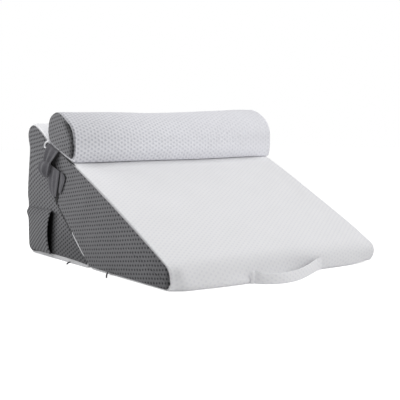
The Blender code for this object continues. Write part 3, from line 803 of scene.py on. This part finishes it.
# Side pocket. A patch of the grey knit sewn to the left rear panel along its back edge, foot and
# top. Its hemmed front edge stays open and gapes, and the cloth puckers at the sewn corner above it.
POCKET_FRONT = 0.503
POCKET_LEAN = 0.008
POCKET_FOOT = 0.010
POCKET_TOP = 0.121
POCKET_SLANT = 0.002
POCKET_GAPE = 0.011
POCKET_GAPE_POWER = 0.6
POCKET_GAPE_FALL = 1.3
POCKET_CLOTH = 0.002
POCKET_BACK = 0.0055
POCKET_CORNER = 0.010
POCKET_CORNER_PLACE = 0.87
POCKET_CORNER_REACH = 0.09
GAP = 0.0004
POCKET_CELLS = (56, 48)
PUCKER_HEIGHT = 0.0022
PUCKER_REACH = 0.045
# Puckers to a full turn round the mouth's upper corner.
PUCKERS = 14.0
PUCKER_START = 0.012
POCKET_TURN = math.radians(58.0)
# The pocket is cut a little wider than the wall that it covers, and that gives it its gape.
# The share of its thickness that a sheet keeps at its edge.
EDGE_SHARE = 0.12


def slab(name, under, thickness, cloth):
    """A closed sheet from a grid of points on its under face: rings that run over the outer face
    and back under it. It is thinned at all its edges by 1 - u^40, with u from -1 to 1 across it."""
    rows, columns = under.shape[:2]
    u = np.linspace(-1.0, 1.0, rows)[:, None]
    v = np.linspace(-1.0, 1.0, columns)[None, :]
    full = (1.0 - np.abs(u) ** 40) * (1.0 - np.abs(v) ** 40)
    over = under.copy()
    over[..., 0] -= thickness * (EDGE_SHARE + (1.0 - EDGE_SHARE) * full)
    rings = np.concatenate((over, under[:, ::-1]), axis=1)
    around = np.concatenate((cloth, cloth[:, ::-1]), axis=1)
    return skin(name, rings, closed(around), flat_ends=True)


def pocket_under():
    """The pocket's inner face: flat on the panel but for the gape, a sine arch that is widest at
    the mouth, and the puckers, rays of cosine waves round the mouth's upper corner."""
    across, up = np.meshgrid(*(np.linspace(0.0, 1.0, count) for count in POCKET_CELLS), indexing="ij")
    z = POCKET_FOOT + (POCKET_TOP - POCKET_FOOT) * up - POCKET_SLANT * across * up
    edge = outline(REAR_PANEL, CELL)
    edge = edge[edge[:, 0] > WALL_START]
    edge = edge[np.argsort(edge[:, 1])]
    back = np.interp(z, edge[:, 1], edge[:, 0]) - POCKET_BACK
    back = back + POCKET_CORNER * bell(up, POCKET_CORNER_PLACE, POCKET_CORNER_REACH)
    mouth = POCKET_FRONT - POCKET_LEAN * up**2
    y = mouth + (back - mouth) * across
    lift = POCKET_GAPE * np.sin(math.pi * up) ** POCKET_GAPE_POWER * (1.0 - across**POCKET_GAPE_FALL)
    over, down = y - (POCKET_FRONT - POCKET_LEAN), POCKET_TOP - z
    ray = np.arctan2(down, over)
    far = np.hypot(down, over)
    pucker = np.cos(ray * PUCKERS) * np.exp(-far / PUCKER_REACH) * fade(far, 0.0, PUCKER_START)
    pucker = pucker * fade(across, 0.0, 0.12)
    lift = lift + PUCKER_HEIGHT * (0.5 + 0.5 * pucker) * fade(up, 0.0, 0.1) * (1.0 - fade(up, 0.95, 1.0))
    wall = EDGE + SIDE_GAP + PANEL + GAP + swell(np.stack((y, z), axis=-1), REAR_SWELL)
    return np.stack((-(wall + lift), y, z), axis=-1)


pocket_face = pocket_under()
pocket_cloth = turned(pocket_face[..., 1], pocket_face[..., 2], POCKET_TURN)
side_pocket = slab("side_pocket_cloth", pocket_face, POCKET_CLOTH, pocket_cloth)
# The same grey knit, drawn so tight that its pits look like stripes.
stripe_knit = knit("grey melange air-layer knit, drawn", shares=(1.7, 0.5, 0.4), pit_edge=-1.4, **GREY)
side_pocket.data.materials.append(stripe_knit)
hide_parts("side_pocket")
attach(side_pocket, "root")

# Carry strap. A tube of the white knit pressed flat and sewn to the nose at both ends, with two rows
# of stitches that show at the left end, so that its middle bows forward as a handle.
STRAP_LEFT = -0.1145
STRAP_RIGHT = 0.121
STRAP_SEWN = 0.010
STRAP_SEWN_RIGHT = 0.020
STRAP_BULGE = 0.043
STRAP_SKEW = 0.72
STRAP_ROUNDNESS = 0.9
STRAP_CLOTH = 0.004
STRAP_FOOT = 0.0004
STRAP_LIFT = 0.002
STRAP_LOW_HEIGHT = 0.023
STRAP_HIGH_RISE = 0.006
STRAP_RINGS = 150
STRAP_SIDES = 36
STITCH_ROWS = (0.0010, 0.0130)
STITCH_DEPTH = 0.0030
STITCH_REACH = 0.0022
PATCH_RISE = 0.005
PATCH_FALL = (0.0100, 0.0200)
THINNED = 0.80
THINNED_SHARE = (0.88, 0.99)
# The part of the nose's outline that the strap lies on.
NOSE_FACE_TOP = 0.046
NOSE_FACE_BACK = 0.0045


def nose_face(x, z):
    """The nose's front face at each height, from its own outline at each x."""
    base = outline(FRONT_OUTLINE, CELL / 2)
    face = np.empty(np.broadcast_shapes(x.shape, z.shape))
    for i, station in enumerate(x.ravel()):
        low = front_section(base, station)
        ahead = (low[:, 0] < NOSE_DEPTH) & (base[:, 0] < NOSE_FACE_BACK)
        low = low[ahead & (low[:, 1] < NOSE_FACE_TOP)]
        low = low[np.argsort(low[:, 1])]
        face[i] = np.interp(z[i], low[:, 1], low[:, 0])
    return face


def strap_rings():
    """Upright rounded sections from end to end. The middle bows forward as a sine arch, drawn to the
    left by a power of the length's share. Each row of stitches at the left end pinches the thickness
    by a narrow bell, and the right end thins out."""
    x = np.linspace(STRAP_LEFT, STRAP_RIGHT, STRAP_RINGS)[:, None]
    start, stop = STRAP_LEFT + STRAP_SEWN, STRAP_RIGHT - STRAP_SEWN_RIGHT
    between = np.clip((x - start) / (stop - start), 0.0, 1.0)
    bulge = STRAP_BULGE * np.sin(math.pi * between**STRAP_SKEW) ** STRAP_ROUNDNESS
    share = (x - STRAP_LEFT) / (STRAP_RIGHT - STRAP_LEFT)
    foot = STRAP_FOOT + STRAP_LIFT * share**3
    top = foot + STRAP_LOW_HEIGHT + STRAP_HIGH_RISE * share**2
    top = top + PATCH_RISE * (1.0 - fade(x - STRAP_LEFT, *PATCH_FALL))
    nose = nose_face(x, foot + (top - foot) * np.linspace(0.0, 1.0, 7)).min(axis=1, keepdims=True)
    angles = np.linspace(0.0, 2 * math.pi, STRAP_SIDES, endpoint=False)[None, :]
    pinch = sum(bell(x, STRAP_LEFT + row, STITCH_REACH) for row in STITCH_ROWS)
    flat = np.sign(np.cos(angles)) * np.abs(np.cos(angles)) ** 0.5
    ends = np.sqrt(np.clip(1.0 - (2 * share - 1.0) ** 60, 0.02, 1.0))
    half = (STRAP_CLOTH / 2) * ends * (1.0 - THINNED * fade(share, *THINNED_SHARE))
    y = nose - GAP - half - bulge + half * flat
    y = y + np.where(flat < 0.0, STITCH_DEPTH * pinch * -flat, 0.0)
    z = (foot + top) / 2 + (top - foot) / 2 * np.sin(angles) * (0.94 + 0.06 * ends)
    return np.stack((np.broadcast_to(x, y.shape), y, z), axis=-1)


rings = strap_rings()
along = run(rings.mean(axis=1))
strap_cloth = turned(*np.broadcast_arrays(along[:, None], closed(rings)[..., 2]), ROLL_TURN)
carry_strap = skin("carry_strap_band", rings, strap_cloth)
carry_strap.data.materials.append(white_knit)
smoothed(carry_strap, 1)
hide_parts("carry_strap")
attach(carry_strap, "root")

# Tie. Grey plain cloth, cut as long bands: one comes down from under the roll and is knotted at the
# joint, where its bulky loop and its long and short ends hang over the left side.
TIE_YARN = "#66656A"
TIE_DARK = "#454449"
TIE_TURN = math.radians(60.0)
# The weave turns this many radians in a metre, so its threads are drawn 1.5 mm apart. The dye's
# tones change over 11 mm.
WEAVE_TURNS = 4200.0
WEAVE_HEIGHT = 0.00008
DYE_SCALE = 90.0
# Each piece has its number of lengthwise pleats, and then rows from its upper to its lower end: y
# and z of the rear edge, y and z of the front edge, distance from the cushions' side, thickness, and
# how deep the pleats are.
TIE_PIECES = {
    "tie_band": (
        2.2,
        (0.5148, 0.2846, 0.4611, 0.2660, 0.0020, 0.0025, 0.0003),
        (0.5177, 0.2780, 0.4570, 0.2638, 0.0060, 0.0025, 0.0010),
        (0.5187, 0.2673, 0.4629, 0.2548, 0.0100, 0.0025, 0.0020),
        (0.5195, 0.2551, 0.4718, 0.2450, 0.0130, 0.0025, 0.0022),
        (0.5211, 0.2428, 0.4838, 0.2353, 0.0140, 0.0030, 0.0012),
    ),
    "tie_knot": (
        1.6,
        (0.5278, 0.2418, 0.4817, 0.2371, 0.0150, 0.0060, 0.0010),
        (0.5377, 0.2304, 0.4815, 0.2295, 0.0160, 0.0120, 0.0025),
        (0.5380, 0.2187, 0.4882, 0.2175, 0.0155, 0.0140, 0.0030),
        (0.5298, 0.2090, 0.4968, 0.2073, 0.0140, 0.0110, 0.0020),
        (0.5197, 0.2011, 0.5089, 0.2009, 0.0110, 0.0050, 0.0005),
    ),
    "tie_long_end": (
        2.6,
        (0.4958, 0.2339, 0.4461, 0.2180, 0.0085, 0.0025, 0.0004),
        (0.5037, 0.2190, 0.4479, 0.2098, 0.0085, 0.0025, 0.0010),
        (0.5095, 0.2015, 0.4528, 0.1975, 0.0080, 0.0025, 0.0014),
        (0.5105, 0.1843, 0.4594, 0.1803, 0.0075, 0.0025, 0.0012),
        (0.5044, 0.1699, 0.4654, 0.1666, 0.0070, 0.0025, 0.0008),
        (0.4919, 0.1573, 0.4699, 0.1541, 0.0062, 0.0020, 0.0002),
    ),
    "tie_short_end": (
        1.4,
        (0.4469, 0.2174, 0.4358, 0.2146, 0.0060, 0.0020, 0.0002),
        (0.4482, 0.2049, 0.4249, 0.2048, 0.0060, 0.0020, 0.0004),
        (0.4528, 0.1878, 0.4309, 0.1883, 0.0060, 0.0020, 0.0004),
        (0.4568, 0.1731, 0.4409, 0.1733, 0.0060, 0.0020, 0.0003),
        (0.4559, 0.1653, 0.4472, 0.1654, 0.0060, 0.0020, 0.0001),
    ),
}
# Near-black strips of painted shadow, laid where the cushions' sides lie in deep shade by the tie: along
# the seam under the roll, down beside the band and the long end, and beside the short end. Each has its
# distance from the cushions' side, and then rows that give its two edges, as above.
SHADOW_STRIP_THICKNESS = 0.0008
TIE_SHADOW_STRIPS = {
    "painted_tie_shadow_top": (
        -0.0006,
        (0.4708, 0.2656, 0.4709, 0.2613),
        (0.4453, 0.2578, 0.4455, 0.2526),
        (0.4204, 0.2492, 0.4205, 0.2445),
        (0.4008, 0.2420, 0.4009, 0.2383),
        (0.3863, 0.2361, 0.3863, 0.2342),
    ),
    "painted_tie_shadow_middle": (
        0.0046,
        (0.4670, 0.2634, 0.4541, 0.2605),
        (0.4786, 0.2549, 0.4621, 0.2521),
        (0.4926, 0.2456, 0.4759, 0.2419),
        (0.5056, 0.2359, 0.4792, 0.2355),
        (0.4962, 0.2304, 0.4752, 0.2285),
        (0.4774, 0.2240, 0.4639, 0.2222),
        (0.4609, 0.2181, 0.4486, 0.2163),
        (0.4586, 0.2076, 0.4473, 0.2078),
        (0.4621, 0.1920, 0.4513, 0.1927),
        (0.4683, 0.1723, 0.4574, 0.1730),
        (0.4741, 0.1525, 0.4647, 0.1532),
        (0.4749, 0.1402, 0.4702, 0.1406),
    ),
    "painted_tie_shadow_front": (
        0.0046,
        (0.4370, 0.2140, 0.4339, 0.2142),
        (0.4296, 0.2059, 0.4230, 0.2062),
        (0.4360, 0.1898, 0.4294, 0.1902),
        (0.4466, 0.1726, 0.4415, 0.1729),
        (0.4519, 0.1657, 0.4494, 0.1659),
    ),
}
TIE_RINGS = 44
TIE_SIDES = 56
TIE_EDGE_POWER = 0.6
PLEAT_PHASE = 0.8


def eased(rows, count):
    """count rows along the smooth curve through a table's rows, a Catmull-Rom spline."""
    rows = np.array(rows)
    t = np.linspace(0.0, len(rows) - 1.0, count)
    i = np.minimum(t.astype(int), len(rows) - 2)
    t = (t - i)[:, None]
    ends = np.vstack((2 * rows[0] - rows[1], rows, 2 * rows[-1] - rows[-2]))
    a, b, c, d = (ends[i + k] for k in range(4))
    return b + t * (c - a) / 2 + t**2 * (2 * a - 5 * b + 4 * c - d) / 2 + t**3 * (3 * b - a - 3 * c + d) / 2


def tie_rings(rows, pleats):
    """A band's flat sections: an oval as thick as the cloth, both faces waved by a cosine with a
    number of pleats across the width."""
    rear_y, rear_z, front_y, front_z, offset, thickness, pleat = eased(rows, TIE_RINGS).T[:, :, None]
    angles = np.linspace(0.0, 2 * math.pi, TIE_SIDES, endpoint=False)[None, :]
    across = np.cos(angles)
    thick = thickness / 2 * np.sign(np.sin(angles)) * np.abs(np.sin(angles)) ** TIE_EDGE_POWER
    fold = pleat * np.cos(across * math.pi * pleats + PLEAT_PHASE) * (1.0 - across**6)
    share = (1.0 - across) / 2
    y = rear_y + (front_y - rear_y) * share
    z = rear_z + (front_z - rear_z) * share
    return np.stack((-(WIDTH / 2 + offset) - thick - fold, y, z), axis=-1)


def plain_cloth(name, yarn, shade):
    """Plain woven cloth: sine waves along warp and weft, multiplied. Its threads are 0.5 mm apart
    and drawn at 1.5 mm so that they show, and its dye is a little uneven."""
    made = bpy.data.materials.new(name)
    made.use_nodes = True
    tree = made.node_tree
    shader = tree.nodes["Principled BSDF"]
    cloth = add(tree, "ShaderNodeUVMap", {}, uv_map="cloth")[0]
    dye = add(tree, "ShaderNodeTexNoise", {"Vector": cloth, "Scale": DYE_SCALE, "Detail": 4.0})["Fac"]
    tones = {0: dye, 6: linear(yarn), 7: linear(shade)}
    tree.links.new(add(tree, "ShaderNodeMix", tones, data_type="RGBA")[2], shader.inputs["Base Color"])
    turns = (WEAVE_TURNS, WEAVE_TURNS, 0.0)
    wide = add(tree, "ShaderNodeVectorMath", {0: cloth, 1: turns}, operation="MULTIPLY")[0]
    thread = add(tree, "ShaderNodeSeparateXYZ", {0: wide})
    warp = add(tree, "ShaderNodeMath", {0: thread[0]}, operation="SINE")[0]
    weft = add(tree, "ShaderNodeMath", {0: thread[1]}, operation="SINE")[0]
    weave = add(tree, "ShaderNodeMath", {0: warp, 1: weft}, operation="MULTIPLY")[0]
    height = add(tree, "ShaderNodeMath", {0: weave, 1: WEAVE_HEIGHT}, operation="MULTIPLY")[0]
    normal = add(tree, "ShaderNodeBump", {"Height": height, "Distance": 1.0, "Strength": 1.0})[0]
    tree.links.new(normal, shader.inputs["Normal"])
    shader.inputs["Roughness"].default_value = 0.85
    shader.inputs["Sheen Weight"].default_value = 0.2
    shader.inputs["Specular IOR Level"].default_value = 0.3
    return made


def tie_skin(name, rows, pleats, finish):
    """One band from its table, a layer of the tie or a strip of painted shadow, and its flat width and
    length.
    """
    rings = tie_rings(rows, pleats)
    _, y, z = np.moveaxis(closed(rings), -1, 0)
    band = skin(name, rings, turned(y, z, TIE_TURN))
    band.data.materials.append(finish)
    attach(band, "root")
    spots = np.array(rows)[:, :4]
    middles = (spots[:, :2] + spots[:, 2:]) / 2
    length = float(np.linalg.norm(np.diff(middles, axis=0), axis=1).sum())
    return band, (float(np.linalg.norm(spots[:, :2] - spots[:, 2:], axis=1).max()), length)


# A plain weave of spun yarn is smooth and matt, with a faint sheen where it turns away. Its near-black copy
# is painted shadow, for the strips where the cushions' sides lie in deep shade by the tie.
tie_cloth = plain_cloth("grey plain weave", TIE_YARN, TIE_DARK)
painted_shadow_cloth = plain_cloth("near-black painted shadow", "#060607", "#020203")
for node, (pleats, *rows) in TIE_PIECES.items():
    band, flat = tie_skin(node + "_cloth", rows, pleats, tie_cloth)
    smoothed(band, 1)
    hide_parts(node)
# Near-black strips of painted shadow on the cushions' side beside the tie.
for name, (offset, *edges) in TIE_SHADOW_STRIPS.items():
    tie_skin(name, [(*edge, offset, SHADOW_STRIP_THICKNESS, 0.0) for edge in edges], 0.0, painted_shadow_cloth)

# Seam edges. Narrow rolls of the white knit that are turned out of a seam: one curls beside the notch
# and one shows along the lower part of the left joint.
# Each has its radius, its x and its path's y and z.
SEAM_EDGES = {
    "notch_seam_edge": (
        0.0021, -0.3062,
        (0.5020, 0.2900), (0.5149, 0.2876), (0.5237, 0.2832),
        (0.5276, 0.2775), (0.5245, 0.2729), (0.5174, 0.2743),
    ),
    "joint_seam_edge": (
        0.0013, -0.3012,
        (0.4010, 0.0768), (0.3875, 0.0645), (0.3723, 0.0512),
        (0.3572, 0.0385), (0.3422, 0.0269),
    ),
}
CORD_RINGS = 40
CORD_SIDES = 14
CORD_REACH = 0.98


def cord_rings(radius, path):
    """Round sections along the smooth curve through a path's points, drawn in at both ends by the
    square root of 1 - t^8, with t running nearly from -1 to 1."""
    middles = eased(path, CORD_RINGS)
    ahead = np.gradient(middles, axis=0)
    ahead = ahead / np.linalg.norm(ahead, axis=1, keepdims=True)
    out = np.cross(ahead, (1.0, 0.0, 0.0))
    out = out / np.linalg.norm(out, axis=1, keepdims=True)
    other = np.cross(ahead, out)
    t = np.linspace(-CORD_REACH, CORD_REACH, CORD_RINGS)
    size = (radius * np.sqrt(1.0 - t**8))[:, None, None]
    angles = np.linspace(0.0, 2 * math.pi, CORD_SIDES, endpoint=False)[None, :, None]
    return middles[:, None] + size * (np.cos(angles) * out[:, None] + np.sin(angles) * other[:, None])


for name, (radius, x, *path) in SEAM_EDGES.items():
    rings = cord_rings(radius, [(x, y, z) for y, z in path])
    seam_edge = skin(name, rings, closed(rings)[..., 1:])
    seam_edge.data.materials.append(white_knit)
    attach(seam_edge, "root")

# Pull tabs. Two short dark tapes, folded narrow and caught in the foot seams of the left side, by
# which the covers are pulled straight.
TAB_YARN = "#3A3A3E"
TAB_DARK = "#2A2A2E"
TAB_RADIUS = 0.0018
TABS = {
    "pull_tab_front": ((-0.3012, 0.2379, 0.0047), (-0.3152, 0.2179, 0.0044), (-0.3280, 0.1980, 0.0022)),
    "pull_tab_rear": ((-0.3012, 0.4106, 0.0043), (-0.3098, 0.4049, 0.0042), (-0.3173, 0.3993, 0.0022)),
}
# Narrow woven tape, dyed near black: it looks dull, like a dark cord.
tab_tape = plain_cloth("dark woven tape", TAB_YARN, TAB_DARK)
for node, path in TABS.items():
    rings = cord_rings(TAB_RADIUS, path)
    tab = skin(node + "_cloth", rings, closed(rings)[..., 1:])
    tab.data.materials.append(tab_tape)
    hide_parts(node)
    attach(tab, "root")

# Studio. A plain white floor and an even white room, with three square soft lights: overhead, at the
# back left for the grey side, and at the front right.
FLOOR_SIZE = 14.0
CAMERA_PLACE = (-1.2101, -1.6143, 0.3374)
CAMERA_YAW = math.radians(-37.007)
CAMERA_PITCH = math.radians(5.428)
CAMERA_ROLL = math.radians(0.242)
CAMERA_LENS = 74.01
CAMERA_SENSOR = 36.0
PAPER = "#FAFAFA"
WHITE = (1.0, 1.0, 1.0, 1.0)
ROOM_LIGHT = 0.38
FLOOR_GLOW = 0.66
# Each light's place, the point it faces, its side and its power in watts.
LIGHTS = {
    "overhead light": ((0.1, -0.75, 2.2), (0.0, 0.0, 0.15), 1.6, 18.4),
    "back left light": ((-1.15, 0.80, 0.85), (-0.2, 0.15, 0.15), 0.8, 8.0),
    "front right light": ((1.4, -1.9, 1.1), (0.0, 0.0, 0.15), 1.4, 10.8),
}

half = FLOOR_SIZE / 2
floor_mesh = bpy.data.meshes.new("floor")
rim = [(-half, -half, 0), (half, -half, 0), (half, half, 0), (-half, half, 0)]
floor_mesh.from_pydata(rim, [], [(0, 1, 2, 3)])
floor = bpy.data.objects.new("floor", floor_mesh)
bpy.context.scene.collection.objects.link(floor)
# Matt paper has no gloss, so the floor shows only soft shade. It glows to the camera alone, which
# hides where it meets the room.
paper = bpy.data.materials.new("matt white paper")
paper.use_nodes = True
paper_shader = paper.node_tree.nodes["Principled BSDF"]
paper_shader.inputs["Base Color"].default_value = linear(PAPER)
paper_shader.inputs["Roughness"].default_value = 0.95
paper_shader.inputs["Emission Color"].default_value = WHITE
seen = add(paper.node_tree, "ShaderNodeLightPath", {})["Is Camera Ray"]
glow = add(paper.node_tree, "ShaderNodeMath", {0: seen, 1: FLOOR_GLOW}, operation="MULTIPLY")[0]
paper.node_tree.links.new(glow, paper_shader.inputs["Emission Strength"])
floor_mesh.materials.append(paper)

bpy.context.scene.view_settings.view_transform = "Standard"
room = bpy.data.worlds.new("white room")
bpy.context.scene.world = room
room.use_nodes = True
rays = add(room.node_tree, "ShaderNodeLightPath", {})["Is Camera Ray"]
bright = add(
    room.node_tree, "ShaderNodeMapRange", {"Value": rays, "To Min": ROOM_LIGHT, "To Max": 1.0}
)[0]
room.node_tree.links.new(bright, room.node_tree.nodes["Background"].inputs["Strength"])
room.node_tree.nodes["Background"].inputs["Color"].default_value = WHITE


def soft_light(name, place, aim, size, power):
    """A square area light that faces a point."""
    lamp = bpy.data.lights.new(name, "AREA")
    lamp.size = size
    lamp.energy = power
    made = bpy.data.objects.new(name, lamp)
    bpy.context.scene.collection.objects.link(made)
    way = np.array(aim) - np.array(place)
    made.location = place
    made.rotation_euler = (math.acos(-way[2] / np.linalg.norm(way)), 0.0, math.atan2(-way[0], way[1]))


for name, setting in LIGHTS.items():
    soft_light(name, *setting)

lens = bpy.data.cameras.new("camera")
lens.sensor_width = CAMERA_SENSOR
lens.lens = CAMERA_LENS
camera = bpy.data.objects.new("camera", lens)
bpy.context.scene.collection.objects.link(camera)
camera.location = CAMERA_PLACE
c, s = math.cos(CAMERA_YAW), math.sin(CAMERA_YAW)
back = np.array((s * math.cos(CAMERA_PITCH), -c * math.cos(CAMERA_PITCH), math.sin(CAMERA_PITCH)))
level = np.array((c, s, 0.0))
upright = np.cross(back, level)
right = math.cos(CAMERA_ROLL) * level + math.sin(CAMERA_ROLL) * upright
top = -math.sin(CAMERA_ROLL) * level + math.cos(CAMERA_ROLL) * upright
turn = np.eye(4)
turn[:3, 0], turn[:3, 1], turn[:3, 2], turn[:3, 3] = right, top, back, CAMERA_PLACE
camera.matrix_world = turn.T.tolist()
bpy.context.scene.camera = camera
